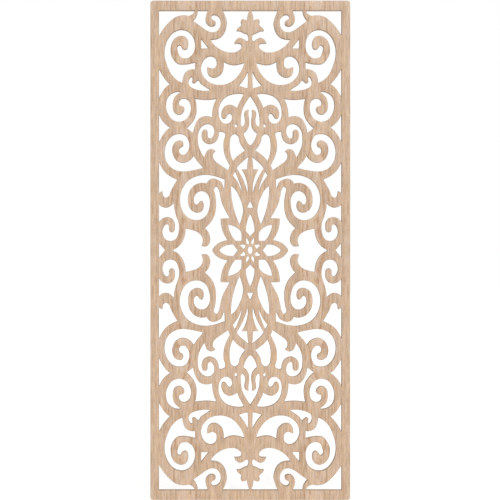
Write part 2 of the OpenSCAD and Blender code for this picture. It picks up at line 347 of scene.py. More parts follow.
GREAT_SCROLL = [(166, 613), (168, 600), (174, 588), (183, 580), (197, 576.5), (208, 580), (215, 590),
    (217.5, 602), (216, 611), (211, 613.5), (206.5, 608), (197, 600.5), (188, 604.5), (185.5, 615),
    (188, 632), (196, 641.5), (208, 644.5), (222, 640), (233, 628), (239, 608), (238, 589), (230, 572),
    (219, 560), (200, 556.5), (182, 558.5), (166, 562.5, V), (166.5, 543, V), (183, 542), (195, 534),
    (202, 518), (204, 503, V), (222, 513), (237, 529), (249, 555), (256, 585), (254, 612), (244, 636),
    (228, 653), (207, 660), (187, 655), (173, 641), (166.5, 622)]
BAR_TRIANGLE = [(126.5, 606.7, V), (146.5, 606.3, V), (146.7, 632.5, V)]
UPPER_CRESCENT = [(19, 561, V), (24, 545), (34, 528), (47, 513.5), (65, 502), (91, 496.5), (115, 501),
    (134, 514), (145, 531), (147.3, 544), (143, 562), (133, 575.5), (119, 581), (107, 577), (101, 563),
    (103.5, 551), (113, 546), (121, 547.8), (128.5, 551.5, V), (129, 540), (126, 527.5), (117, 519),
    (106, 517), (91, 524), (82, 536), (79, 552), (79, 565, V), (65, 557.5), (48, 554.5), (32, 557)]
STEM_TRIANGLE = [(7, 535, V), (6.5, 520), (8, 487, V), (20, 490), (33, 494.5, V), (20, 510)]
STILE_WEDGE_TOP = [(273, 544, V), (259, 518.5), (241.8, 499, V), (254, 489.5), (264, 476.5),
    (273, 460.5, V)]
BAR_FOOT = [(120.5, 480.7, V), (133, 479), (150, 480.5), (168, 485), (179, 491), (184.5, 503), (182, 512),
    (176, 519), (173.7, 514), (174.5, 506), (170, 500.5), (163, 502.5), (157, 508.5), (150, 501),
    (136, 490.5)]
SQUARE_WINDOW = [(101.7, 453.6, V), (109, 439), (113.5, 420), (114.5, 400, V), (128, 403), (140, 402.5),
    (152, 397), (163, 383), (169, 366), (171.7, 353, V), (189.5, 366.5, V), (175, 381), (165, 397),
    (160.5, 415), (160.5, 430), (164.8, 453.8, V), (148, 451.5), (130, 450.5), (115, 451.5)]
MIDDLE_SCROLL = [(210.5, 474.5, V), (218, 469), (227, 460), (232.5, 445), (233, 430), (229, 416),
    (221, 408), (213, 406), (203, 410), (197.5, 419), (198, 427.5), (204, 433), (211, 434.5),
    (213.5, 441), (209, 450.5), (200, 454.5), (187, 450), (179, 435), (179.5, 416), (188, 399),
    (201, 389), (215, 386.5), (231, 391), (244, 405), (251, 424), (251.5, 440), (246, 458), (235, 469),
    (222, 474)]
STILE_WEDGE_MIDDLE = [(273, 408, V), (260, 384.5), (241, 368.5, V), (252, 360), (262, 346.5),
    (273, 326.5, V)]
PETAL_HOOK = [(20.5, 467.5, V), (28, 453), (35, 440), (39, 427.5, V), (49, 434), (62, 437.5), (76, 432.5),
    (85, 420), (87, 407), (84.5, 397), (79, 393.7), (73, 396), (68, 404), (61, 409.3), (55, 402),
    (57, 390.5), (64, 382.5), (74, 380.5), (88, 389), (94.5, 408), (93.5, 424), (86, 445), (70, 460.5),
    (52, 467), (33, 469)]
EYE = [(46.8, 373.5), (43.2, 377.8), (39.6, 373.5), (43.2, 369.2)]
LANCET = [(46, 348), (37, 342), (31.5, 324), (15.5, 300, V), (30, 290), (42, 280), (51.5, 268.5, V),
    (59, 288), (61.5, 308), (60, 328), (55, 343.5)]
INNER_SCROLL = [(79.5, 330), (80.5, 312), (77, 289), (70, 271), (61.5, 255, V), (67, 240.5, V),
    (80, 249.5), (93, 258.5), (107, 270), (111.8, 281), (110.5, 289), (103.5, 296, V), (108, 301),
    (117, 304.3), (127, 301), (134, 291), (137.5, 279, V), (149, 297), (155.5, 318), (156.3, 340),
    (152, 360), (140, 374), (124, 378), (112, 371), (108, 356), (112, 343), (120, 336), (125, 338),
    (127.7, 348), (129, 358.5), (135, 363), (141, 361), (146, 351), (145, 337), (136, 323), (123, 318),
    (112, 320), (101, 328), (94.5, 343), (93.5, 354.6, V), (81, 353.8), (77, 351.8), (75.2, 347)]
LOWER_SCROLL = [(142, 247.3, V), (160, 243), (180, 239), (200, 236.8), (220, 239.5), (238, 249),
    (250, 265), (256, 290), (253, 313), (241, 335), (226, 346), (212, 348.3), (196, 344.5), (186, 331),
    (183, 316), (188, 297), (200, 286.7), (208, 288.5), (213, 297.5), (209.5, 306.5), (202, 311),
    (200, 320), (205, 328.3), (214, 330), (227, 323.5), (234, 307), (232.5, 288), (222, 270.5),
    (204, 262), (187, 265.5), (174, 276), (169, 283.5, V), (160, 269), (150, 257.5)]
STILE_SAIL = [(273, 264.5, V), (263, 244), (252, 231), (238, 221), (219.5, 212, V), (230, 194.5),
    (239, 177), (244, 163.5), (252, 158.5), (259.5, 162), (262, 172), (262.5, 179.5, V), (273, 173, V)]
SIDE_SCROLL = [(229.8, 141, V), (228, 125), (222, 102), (215, 81), (213.7, 66), (217, 47), (226, 32.5),
    (238, 28.3), (252, 32), (261, 45), (262.3, 60), (260, 67), (255, 75.5), (250, 78), (244.5, 73),
    (244.3, 64), (241, 55.5), (235, 53.5), (228.5, 57), (225.3, 70), (228, 87), (237, 97), (249, 100),
    (262, 96.5), (273, 85, V), (273, 140.5, V), (262, 129.5), (252, 127.5), (241, 131)]
LONG_SCROLL = [(77, 212.5, V), (77.3, 200), (78.5, 184, V), (82.3, 194), (87, 204.8), (97, 211.5),
    (111, 215.7), (121, 213), (128, 206.5), (131, 200.3, V), (147, 202.7), (162, 198.5), (176, 187.5),
    (185, 170), (187.3, 150), (184.5, 133), (175, 119), (158, 112.5), (145, 117), (139, 130), (140, 141.5),
    (146, 149), (153, 145), (159.5, 137.5), (166, 140.5), (168.5, 153), (163, 168), (150, 176.7),
    (137, 175.5), (125, 163.5), (121.3, 145), (123.5, 125), (132, 105.5), (147, 93.5), (164, 90.8),
    (184, 96.8), (200, 113), (209, 138), (209.5, 162), (201, 188.5), (186, 208), (164, 220.5), (136, 226),
    (110, 223.3), (92, 217.8)]
STEM_SICKLE = [(5.3, 280, V), (8, 262), (8.8, 243.5, V), (26.5, 243.5, V), (19, 232), (12, 214), (8, 196),
    (7.1, 186), (9, 171, V), (11.5, 186), (16, 200), (22, 214), (30, 229), (40, 246.5, V), (31, 258),
    (20, 268)]
STEM_NEEDLE = [(26, 174.5, V), (31.2, 191), (37.2, 204), (45.7, 216.3), (51.8, 224.5, V), (45.5, 235.5, V),
    (41, 227), (34.6, 210.5), (27.6, 191)]
PETAL_BLADE = [(57.2, 193, V), (46, 183.5), (34, 163.5), (25, 141), (21.2, 116), (25, 98), (32, 77.5, V),
    (40, 96), (49, 124), (54.5, 150)]
PETAL_CELL = [(26, 28.5, V), (35, 28.6), (44, 29), (50, 35), (59, 51), (65, 69), (65.5, 76.5, V),
    (52, 73.5), (36, 64.5), (27.5, 55), (26, 45)]
SEED_UPPER = [(3, 24), (4.8, 18.8), (9.5, 19.5), (11.8, 25), (12.3, 33), (10.8, 36), (7, 31.5)]
SEED_LOWER = [(14.3, 15), (15.8, 9), (18.8, 4.4), (24, 8.5), (29.5, 14.8), (27, 16.6), (18, 16.5)]
QUARTER_WINDOWS = [CORNER_WINDOW, RAIL_HOOK, FLEURON_WINDOW, GREAT_SCROLL, BAR_TRIANGLE, UPPER_CRESCENT,
                   STEM_TRIANGLE, STILE_WEDGE_TOP, BAR_FOOT, SQUARE_WINDOW, MIDDLE_SCROLL,
                   STILE_WEDGE_MIDDLE, PETAL_HOOK, EYE, LANCET, INNER_SCROLL, LOWER_SCROLL, STILE_SAIL,
                   SIDE_SCROLL, LONG_SCROLL, STEM_SICKLE, STEM_NEEDLE, PETAL_BLADE, PETAL_CELL,
                   SEED_UPPER, SEED_LOWER]
print(len(QUARTER_WINDOWS), "windows lie within a quarter")

# %% [markdown]
# Windows that lie across a centre line are kept as one half, and the oval in the middle as one quarter. The
# other half is the same knots mirrored and read backwards.

# %% Knots of the windows on the centre lines
ARCH = [(0, 316.5), (10, 326), (17, 340), (20, 350.5, V), (8, 362), (3.5, 374), (3, 388), (5, 404),
    (5.5, 413), (3.5, 421.5, V), (10, 421.5), (17.5, 414), (17.5, 405), (15.5, 392), (19, 376.5),
    (24.5, 371.7), (27.5, 376), (28.3, 390), (26, 410), (21, 427), (12, 444), (0, 462, V)]
BUD = [(0, 42.5, V), (7, 50.5), (13, 57), (13, 66), (10.5, 80.5), (6, 96), (0, 108.5, V)]
STEM_POINT = [(9, 127.8, V), (0, 148, V)]
SIDE_POINT = [(273, 20.5, V), (264, 9.5), (255.8, 0, V)]
GREAT_WINDOW = [(230, 0), (223, 4.8), (212, 13.5), (202, 27), (196, 43), (193.3, 64.5, V), (176, 61),
    (157, 53.5), (146, 42.5), (142.5, 29), (144.5, 19), (146.3, 12.2, V), (140, 11.4), (133, 11.2),
    (124, 17.5), (119.5, 32), (122, 47), (129, 60), (135.5, 66, V), (126, 75), (114, 89.5), (105.5, 109),
    (102, 132), (102.8, 152), (106, 172), (108, 184), (101.5, 190.3), (95.5, 184), (90, 162), (84, 139),
    (73, 117), (61, 96.5, V), (75, 96), (89, 95.3, V), (88, 80), (83, 58), (77, 45), (68, 30.5, V),
    (82, 27.5), (98, 20), (108, 10), (113.7, 0)]
PETAL_SIDE = [(91.5, 0), (86, 6.5), (74, 13.7), (60, 17), (50.5, 16.5), (45, 9.5), (37.3, 0, V)]
OVAL = [(7.6, 0), (0, 10.8)]
UPRIGHT_WINDOWS = [ARCH, BUD, STEM_POINT]
LEVEL_WINDOWS = [SIDE_POINT, GREAT_WINDOW, PETAL_SIDE]


def closed(knots, axis):
    """A loop made whole from the half that lies on one side of a centre line."""
    def flip(knot):
        spot = (-knot[0], knot[1]) if axis == 0 else (knot[0], -knot[1])
        return spot + tuple(knot[2:])

    return knots + [flip(knot) for knot in reversed(knots) if knot[axis] != 0]


OVAL_WINDOW = closed(closed(OVAL, 0), 1)
print(len(UPRIGHT_WINDOWS), "windows cross the upright line and", len(LEVEL_WINDOWS), "the level one")

# %% [markdown]
# ## From knots to a smooth line
# A polygon would show its corners on the cut walls. Here each stretch between two knots is a smooth cubic
# curve instead, and it needs a heading at both ends. At a smooth knot the line heads along the circle
# through that knot and its two neighbours. At a sharp knot it takes the heading that makes the stretch a
# plain arc, or a straight line where the stretch is sharp at both ends.

# %% Headings along a line of knots
def left_of(direction):
    """The direction a quarter turn to the left."""
    return Vector((-direction.y, direction.x))


def cross(a, b):
    """Above 0 where b points to the left of a."""
    return a.x * b.y - a.y * b.x


def matching(chord, heading):
    """Heading at the sharp end of a stretch that has the given heading at its other end."""
    along = chord.normalized()
    return 2 * heading.dot(along) * along - heading


print("Helpers for headings are ready")

# %% A closed line through knots
class Loop:
    """A closed line through knots, which are counted round and round."""

    def __init__(self, knots):
        self.knots = knots

    def at(self, i):
        """Place of knot i."""
        return Vector(self.knots[i % len(self.knots)][:2])

    def sharp(self, i):
        """Whether the line turns sharply at knot i."""
        return len(self.knots[i % len(self.knots)]) > 2

    def heading(self, i):
        """Heading at a smooth knot, from the circle through it and its neighbours."""
        before, after = self.at(i) - self.at(i - 1), self.at(i + 1) - self.at(i)
        return (before / before.dot(before) + after / after.dot(after)).normalized()

    def leaving(self, i):
        """Heading with which the line leaves knot i."""
        if not self.sharp(i):
            return self.heading(i)
        chord = self.at(i + 1) - self.at(i)
        return chord.normalized() if self.sharp(i + 1) else matching(chord, self.heading(i + 1))

    def arriving(self, i):
        """Heading with which the line comes to knot i."""
        if not self.sharp(i):
            return self.heading(i)
        chord = self.at(i) - self.at(i - 1)
        return chord.normalized() if self.sharp(i - 1) else matching(chord, self.heading(i - 1))


turns = sum(Loop(knots).sharp(i) for knots in QUARTER_WINDOWS for i in range(len(knots)))
print("The windows of a quarter turn sharply", turns, "times")

# %% [markdown]
# A sharp knot gets the round that the cutter leaves in a window's corner, or the one that sanding leaves on a
# tip of the pattern, or a smaller one where the stretches beside it are short.

# %% Rounds at the sharp knots, in millimetres
CUTTER_RADIUS = 0.75
TIP_RADIUS = 1.0
ROUND_SHARE = 0.45
ROUND_STEP = math.radians(18.0)


def rounding(loop, i):
    """Radius of the round at sharp knot i, and how far from the knot it starts."""
    half_turn = loop.arriving(i).angle(loop.leaving(i)) / 2
    wanted = CUTTER_RADIUS if cross(loop.arriving(i), loop.leaving(i)) > 0 else TIP_RADIUS
    room = ROUND_SHARE * min((loop.at(i) - loop.at(i - 1)).length, (loop.at(i + 1) - loop.at(i)).length)
    radius = min(wanted, room / math.tan(half_turn))
    return radius, radius * math.tan(half_turn)


def corner(loop, i):
    """Points of the round at sharp knot i, or the knot itself where the line runs smoothly."""
    if not loop.sharp(i):
        return [loop.at(i)]
    arriving, leaving = loop.arriving(i), loop.leaving(i)
    radius, reach = rounding(loop, i)
    side = 1 if cross(arriving, leaving) > 0 else -1
    turn = arriving.angle(leaving)
    centre = loop.at(i) - reach * arriving + side * radius * left_of(arriving)
    steps = math.ceil(turn / ROUND_STEP)
    return [centre + radius * (math.sin(a) * arriving - side * math.cos(a) * left_of(arriving))
            for a in (turn * step / steps for step in range(steps + 1))]


print("The corner window's first corner has a radius of", round(rounding(Loop(CORNER_WINDOW), 0)[0], 2), "mm")

# %% [markdown]
# Between the rounds, the curve's handles have the length that makes an exact arc where the knots lie on one.
# A stretch that turns more gets more steps, so that no facet lies further from the curve than a few
# hundredths of a millimetre.

# %% Curves between the knots, in millimetres
CURVE_ERROR = 0.06


def stretch(start, end, leaving, arriving):
    """Points inside the curve from start to end."""
    chord = end - start
    turn = leaving.angle(chord) + chord.angle(arriving)
    handle = chord.length / (3 * math.cos(turn / 4) ** 2)
    steps = max(1, math.ceil(math.sqrt(chord.length * turn / (8 * CURVE_ERROR))))
    inside = []
    for t in (step / steps for step in range(1, steps)):
        u = 1 - t
        inside.append(u ** 3 * start + 3 * u * u * t * (start + handle * leaving)
                      + 3 * u * t * t * (end - handle * arriving) + t ** 3 * end)
    return inside


def points_along(loop):
    """All points of the line."""
    corners = [corner(loop, i) for i in range(len(loop.knots))]
    line = []
    for i, here in enumerate(corners):
        there = corners[(i + 1) % len(corners)]
        line += here + stretch(here[-1], there[0], loop.leaving(i), loop.arriving(i + 1))
    return line


print("The corner window's line has", len(points_along(Loop(CORNER_WINDOW))), "points")

# %% [markdown]
# ## Fitting the drawing to the opening
# The knots were read where the photograph turns white. On a window's side away from the middle, that isn't
# the sawn edge: the camera is close and sees the cut wall there, which hides a strip of the window. The
# strip is half a per cent of the distance from the middle, so each knot on such a side is moved out by as
# much. A corner is moved so that both of its sides clear their strips, and where the line bends only a
# little its two sides count as one. Then the drawing is fitted to the opening inside the border, whose
# strips are given in millimetres.

# %% Move the knots and fit them
HIDDEN_SHARE = 0.005
SMOOTH_BEND = 0.25
STILE = 25.5
RAIL = 29.5
drawn_x, drawn_z = (max(knot[axis] for knots in QUARTER_WINDOWS for knot in knots) for axis in (0, 1))
fit_x = (PANEL_W / MM / 2 - STILE) / (drawn_x * (1 + HIDDEN_SHARE))
fit_z = (PANEL_H / MM / 2 - RAIL) / (drawn_z * (1 + HIDDEN_SHARE))


def moved_out(loop, i):
    """Knot i, moved out by the strip of window that the cut wall hides in the photograph."""
    here = loop.at(i)
    a, b = -left_of(loop.arriving(i)), -left_of(loop.leaving(i))
    strip_a, strip_b = (HIDDEN_SHARE * max(0.0, here.dot(side)) for side in (a, b))
    if abs(cross(a, b)) > SMOOTH_BEND:
        return here + (strip_b * left_of(a) - strip_a * left_of(b)) / cross(a, b)
    middle = (a + b).normalized()
    return here + HIDDEN_SHARE * max(0.0, here.dot(middle)) * middle


def sawn_line(knots):
    """The line of one window in metres, fitted to the opening inside the border."""
    loop = Loop(knots)
    fitted = []
    for i, knot in enumerate(knots):
        spot = moved_out(loop, i)
        fitted.append((spot.x * fit_x, spot.y * fit_z) + tuple(knot[2:]))
    return [spot * MM for spot in points_along(Loop(fitted))]


print("The drawing is fitted by", round(fit_x, 4), "across and", round(fit_z, 4), "upright")

# %% [markdown]
# The lines are kept in curve objects, which are tools of the lesson and not pieces. The windows run
# anticlockwise and the panel's own edge clockwise, so the wood lies on the right-hand side of every line.

# %% Draw the lines
OUTER_RADIUS = 9 * MM
OUTER_STEPS = 12


def panel_edge():
    """The panel's own outline, run clockwise, with its four rounded corners."""
    inner_x, inner_z = PANEL_W / 2 - OUTER_RADIUS, PANEL_H / 2 - OUTER_RADIUS
    points = []
    for quarter, (sx, sz) in enumerate(((1, 1), (1, -1), (-1, -1), (-1, 1))):
        for step in range(OUTER_STEPS + 1):
            angle = math.radians(90 - 90 * quarter - 90 * step / OUTER_STEPS)
            points.append(Vector((sx * inner_x + OUTER_RADIUS * math.cos(angle),
                                  sz * inner_z + OUTER_RADIUS * math.sin(angle))))
    return points


def curve_tool(name, lines, closed_lines=True):
    """A curve object that holds straight-stepped lines, drawn flat."""
    curve = bpy.data.curves.new(name, "CURVE")
    curve.dimensions = "3D"
    for line in lines:
        spline = curve.splines.new("POLY")
        spline.points.add(len(line) - 1)
        spline.points.foreach_set("co", [c for x, y in line for c in (x, y, 0.0, 1.0)])
        spline.use_cyclic_u = closed_lines
    tool = bpy.data.objects.new(name, curve)
    bpy.context.scene.collection.objects.link(tool)
    print("Drawn:", name, "with", sum(len(line) for line in lines), "points, lines:", len(lines))
    return tool


quarter_lines = curve_tool("quarter_lines", [sawn_line(knots) for knots in QUARTER_WINDOWS])
upright_lines = curve_tool("upright_lines", [sawn_line(closed(knots, 0)) for knots in UPRIGHT_WINDOWS])
level_lines = curve_tool("level_lines", [sawn_line(closed(knots, 1)) for knots in LEVEL_WINDOWS])

# %% [markdown]
# ## Mirroring the drawing
# The maker turned one pattern over for each quarter of the board. A small Geometry Nodes group does the
# same: it joins some lines with their mirror image. A mirrored line runs the other way round, so it is
# reversed, and the wood stays on the right-hand side of every line.

# %% Group that adds a mirror image
SIDEWAYS = (-1.0, 1.0, 1.0)
UPSIDE_DOWN = (1.0, -1.0, 1.0)


def joined(tree, parts):
    """Several shapes as one."""
    node = add(tree, "GeometryNodeJoinGeometry")
    for part in parts:
        tree.links.new(part, node.inputs[0])
    return node.outputs[0]


mirrored, given, result = new_group("mirrored_lines", "GeometryNodeTree",
                                    [("Lines", "NodeSocketGeometry", None),
                                     ("Flip", "NodeSocketVector", SIDEWAYS)],
                                    [("Lines", "NodeSocketGeometry")])
turned_over = add(mirrored, "GeometryNodeTransform", {"Geometry": given["Lines"], "Scale": given["Flip"]})
image = add(mirrored, "GeometryNodeReverseCurve", {"Curve": turned_over.outputs[0]}).outputs[0]
mirrored.links.new(joined(mirrored, (given["Lines"], image)), result["Lines"])
print("Group", mirrored.name, "has", len(mirrored.nodes), "nodes")

# %% [markdown]
# ## Sawing a sheet
# A sheet with all its windows could be cut by booleans, one window at a time. Sweeping is quicker and
# cleaner: a small profile, which is the section of a cut wall with its eased edge, runs along every line, and
# the flat faces are filled between the profile's ends. The profile's first point is at the sheet's back and
# its last at its front. Its x is how far a point lies in the wood. Its y is how high it lies above the back,
# with a minus sign, because the sweep turns the profile over.

# %% Open the group that saws a sheet
INTO_WOOD = (0.0, 0.0, 1.0)

sawn_sheet, given, result = new_group("sawn_sheet", "GeometryNodeTree",
                                      [("Middle lines", "NodeSocketGeometry", None),
                                       ("Quarter lines", "NodeSocketObject", None),
                                       ("Upright lines", "NodeSocketObject", None),
                                       ("Level lines", "NodeSocketObject", None),
                                       ("Edge profile", "NodeSocketObject", None),
                                       ("Depth", "NodeSocketFloat", 0.0),
                                       ("Face finish", "NodeSocketMaterial", None),
                                       ("Cut finish", "NodeSocketMaterial", None)],
                                      [("Sheet", "NodeSocketGeometry")])


def lines_of(source):
    """The lines of another object."""
    return add(sawn_sheet, "GeometryNodeObjectInfo", {"Object": source}).outputs["Geometry"]


def with_image(lines, flip):
    """Lines together with their mirror image."""
    return place(sawn_sheet, mirrored, {"Lines": lines, "Flip": flip}).outputs[0]


def inset(lines, far):
    """Lines moved sideways into the wood."""
    tangent = add(sawn_sheet, "GeometryNodeInputTangent").outputs[0]
    offset = scaled(sawn_sheet, vector(sawn_sheet, "CROSS_PRODUCT", tangent, INTO_WOOD), far)
    return add(sawn_sheet, "GeometryNodeSetPosition", {"Geometry": lines, "Offset": offset}).outputs[0]


def filled(lines, profile, end):
    """The flat face between the lines, at one end of the profile: 0 is its first point and 1 its last."""
    sample = add(sawn_sheet, "GeometryNodeSampleCurve", {"Curves": profile, "Factor": float(end)})
    across, down = axes(sawn_sheet, sample.outputs["Position"])[:2]
    face = add(sawn_sheet, "GeometryNodeFillCurve", {"Curve": inset(lines, across)}, mode="TRIANGLES")
    lift = along_axes(sawn_sheet, {2: number(sawn_sheet, "MULTIPLY", down, -1.0)})
    return add(sawn_sheet, "GeometryNodeTransform",
               {"Geometry": face.outputs[0], "Translation": lift}).outputs[0]


print("Group", sawn_sheet.name, "takes", len(given) - 1, "inputs")

# %% [markdown]
# The group first gathers every line of the board. The windows of a quarter are mirrored both ways and those
# on a centre line once, and the oval and the board's own edge come as they are.

# %% Gather the lines of the board
both_hands = with_image(lines_of(given["Quarter lines"]), SIDEWAYS)
all_quarters = with_image(both_hands, UPSIDE_DOWN)
uprights = with_image(lines_of(given["Upright lines"]), UPSIDE_DOWN)
levels = with_image(lines_of(given["Level lines"]), SIDEWAYS)
together = joined(sawn_sheet, (given["Middle lines"], all_quarters, uprights, levels))
lines = add(sawn_sheet, "GeometryNodeSetCurveNormal", {"Curve": together}, mode="Z_UP").outputs[0]
print("Group", sawn_sheet.name, "has", len(sawn_sheet.nodes), "nodes so far")

# %% [markdown]
# Walls and faces are welded into one closed skin. It was drawn lying flat, so it is stood up and moved to its
# depth in the board. All of it gets the finish of a cut wall, and then what faces straight to the front or to
# the back gets the finish of the veneer's face.

# %% Walls, faces and finishes of a sheet
WELD = 2e-6
STANDING = (math.radians(90.0), 0.0, 0.0)
FLAT = 0.99

profile = lines_of(given["Edge profile"])
wall = add(sawn_sheet, "GeometryNodeCurveToMesh", {"Curve": lines, "Profile Curve": profile}).outputs[0]
back_face = add(sawn_sheet, "GeometryNodeFlipFaces", {"Mesh": filled(lines, profile, 0)}).outputs[0]
skin = joined(sawn_sheet, (wall, back_face, filled(lines, profile, 1)))
welded = add(sawn_sheet, "GeometryNodeMergeByDistance", {"Geometry": skin, "Distance": WELD}).outputs[0]
to_depth = along_axes(sawn_sheet, {1: number(sawn_sheet, "MULTIPLY", given["Depth"], -1.0)})
standing = add(sawn_sheet, "GeometryNodeTransform",
               {"Geometry": welded, "Rotation": STANDING, "Translation": to_depth}).outputs[0]
real = add(sawn_sheet, "GeometryNodeRealizeInstances", {"Geometry": standing}).outputs[0]
cut = add(sawn_sheet, "GeometryNodeSetMaterial",
          {"Geometry": real, "Material": given["Cut finish"]}).outputs[0]
facing = axes(sawn_sheet, add(sawn_sheet, "GeometryNodeInputNormal").outputs[0])[1]
is_face = add(sawn_sheet, "FunctionNodeCompare", {0: number(sawn_sheet, "ABSOLUTE", facing), 1: FLAT},
              operation="GREATER_THAN").outputs[0]
faced = add(sawn_sheet, "GeometryNodeSetMaterial",
            {"Geometry": cut, "Selection": is_face, "Material": given["Face finish"]}).outputs[0]
sawn_sheet.links.new(faced, result["Sheet"])
print("Group", sawn_sheet.name, "has", len(sawn_sheet.nodes), "nodes")

# %% [markdown]
# ## Oak veneer
# The leaves are sliced pale oak with the grain upright. The photograph shows fine streaks a few millimetres
# wide and a few centimetres long. In the middle of each leaf, through the outer scrolls, runs the crown of
# the log: a pale heart, thin dark lines of late wood that arch beside it, and brown flecks on those lines.
# Towards the leaf's edge the grain is even again. Each quarter mirrors its neighbours, because the four
# leaves were opened like a book. So one group folds the panel's coordinates at the centre lines to match the
# leaves, and another, which every oak finish uses, holds the figure.

# %% Group that folds the coordinates
matched, given, result = new_group("matched_leaves", "ShaderNodeTree",
                                   [("Vector", "NodeSocketVector", None),
                                    ("Fold level line", "NodeSocketFloat", 1.0),
                                    ("Shift", "NodeSocketVector", (0.0, 0.0, 0.0))],
                                   [("Vector", "NodeSocketVector")])
x, y, z = axes(matched, given["Vector"])
folded_x = number(matched, "ABSOLUTE", x)
folded_z = blend_numbers(matched, given["Fold level line"], z, number(matched, "ABSOLUTE", z))
folded = along_axes(matched, {0: folded_x, 1: y, 2: folded_z})
matched.links.new(vector(matched, "ADD", folded, given["Shift"]), result["Vector"])
print("Group", matched.name, "has", len(matched.nodes), "nodes")

# %% [markdown]
# The figure is a sum of noises that are stretched along the grain. The three rates of a noise say how often
# it changes in a metre across the leaf, into the leaf and along the grain. The grain sways a little, so that
# no streak is quite straight.

# %% Open the group for the oak's figure
SWAY = 0.012
SWAY_RATES = (5.0, 1.0, 1.6)

oak, given, result = new_group("oak_figure", "ShaderNodeTree",
                               [("Vector", "NodeSocketVector", None), ("Streaks", "NodeSocketFloat", 1.0),
                                ("Bands", "NodeSocketFloat", 1.0), ("Crown", "NodeSocketFloat", 1.0),
                                ("Pores", "NodeSocketFloat", 1.0)],
                               [("Tone", "NodeSocketFloat"), ("Flecks", "NodeSocketFloat"),
                                ("Warmth", "NodeSocketFloat"), ("Pore", "NodeSocketFloat"),
                                ("Height", "NodeSocketFloat")])


def times(a, b):
    """The product of two numbers of the oak's figure."""
    return number(oak, "MULTIPLY", a, b)


def plus(share, a, b):
    """A share of one number of the oak's figure, added to another."""
    return number(oak, "MULTIPLY_ADD", a, share, b)


def even_noise(coordinates, rates, detail, roughness=0.5):
    """Noise that lies as much below 0 as above it."""
    return number(oak, "SUBTRACT", noise(oak, coordinates, rates, detail, roughness), 0.5)


where = given["Vector"]
sway = even_noise(where, SWAY_RATES, 1.0)
swayed = vector(oak, "ADD", where, along_axes(oak, {0: times(sway, SWAY)}))
print("The grain sways by up to", SWAY / 2 / MM, "mm to each side")

# %% [markdown]
# Three noises make the streaks: fine ones a few millimetres wide, the short marks of the rays, and hairs that
# show only from near. Bands and clouds are broad and weak.

# %% Streaks, bands and clouds
FINE_RATES, FINE_SHARE = (255.0, 60.0, 24.0), 1.6
RAY_RATES, RAY_SHARE = (520.0, 120.0, 260.0), 0.6
HAIR_RATES, HAIR_SHARE = (1500.0, 200.0, 45.0), 0.95
BAND_RATES, BAND_SHARE = (48.0, 8.0, 2.6), 0.1
CLOUD_RATES, CLOUD_SHARE = (9.0, 3.0, 7.0), 0.22

fine = even_noise(swayed, FINE_RATES, 1.0, 0.8)
rays = even_noise(swayed, RAY_RATES, 1.0, 0.6)
hair = even_noise(swayed, HAIR_RATES, 2.0, 0.6)
band = even_noise(swayed, BAND_RATES, 2.0, 0.55)
cloud = even_noise(where, CLOUD_RATES, 1.0)
streaks = plus(HAIR_SHARE, hair, plus(RAY_SHARE, rays, times(fine, FINE_SHARE)))
print("The finest streaks change", HAIR_RATES[0] * MM, "times in a millimetre")

# %% [markdown]
# The crown is a family of arches. A phase grows with the square of the distance from the crown's middle and
# with the height, and wanders a little. Each whole step of it is a year's ring, and the late wood of the year
# is a thin dark line. The crown fades out on both sides and its heart is paler than the rest. Near the leaf's
# outer edge, on the upright strips of the border, bands and clouds are calmer.

# %% The crown of the log
CROWN_X = 0.2
CROWN_WIDTH = 0.0009
CROWN_RATE = 7.0
CROWN_START = 0.1
WANDER_RATES, WANDER_SHARE = (14.0, 3.0, 6.0), 1.6
LATE_FROM, LATE_TO, LATE_SHARE = 0.3, 0.49, -0.2
CROWN_FULL, CROWN_GONE = 0.03, 0.085
HEART_FULL, HEART_GONE, HEART_SHARE = 0.012, 0.026, 0.16
EDGE_GRAIN_FROM, EDGE_GRAIN_TO, EDGE_GRAIN = 0.245, 0.275, 0.2

spot = axes(oak, swayed)
from_centre, up = spot[0], spot[2]
across = number(oak, "SUBTRACT", from_centre, CROWN_X)
arch = number(oak, "DIVIDE", times(across, across), CROWN_WIDTH)
wander = number(oak, "MULTIPLY_ADD", noise(oak, where, WANDER_RATES, 2.0), WANDER_SHARE, CROWN_START)
phase = number(oak, "ADD", number(oak, "ADD", arch, times(up, CROWN_RATE)), wander)
ring = number(oak, "PINGPONG", phase, 0.5)
late = remap(oak, ring, LATE_FROM, LATE_TO, smooth=True)
off_centre = number(oak, "ABSOLUTE", across)
in_crown = remap(oak, off_centre, CROWN_FULL, CROWN_GONE, 1.0, 0.0, smooth=True)
heart = remap(oak, off_centre, HEART_FULL, HEART_GONE, 1.0, 0.0, smooth=True)
crown = plus(HEART_SHARE, heart, times(times(late, in_crown), LATE_SHARE))
calm = remap(oak, from_centre, EDGE_GRAIN_FROM, EDGE_GRAIN_TO, 1.0, EDGE_GRAIN, smooth=True)
print("The crown's middle is", round(CROWN_X / MM), "mm from the upright centre line")

# %% [markdown]
# The tone adds all this up. The flecks are patches that keep to the crown and to its late wood. The warmth is
# a noise of its own, because the photograph's wood also varies between greyer and more orange.

# %% Tone, flecks and warmth
PATCH_RATES, PATCH_FROM, PATCH_TO = (40.0, 6.0, 18.0), 0.48, 0.66
RING_FROM, RING_TO, OFF_RING = 0.15, 0.45, 0.15
OFF_CROWN = 0.05
WARM_BAND_RATES, WARM_SPOT_RATES, WARM_SPOTS = (120.0, 20.0, 5.0), (125.0, 40.0, 105.0), 0.45

broad = times(given["Bands"], calm)
tone = times(streaks, given["Streaks"])
tone = plus(times(broad, BAND_SHARE), band, tone)
tone = plus(times(broad, CLOUD_SHARE), cloud, tone)
tone = plus(given["Crown"], crown, tone)

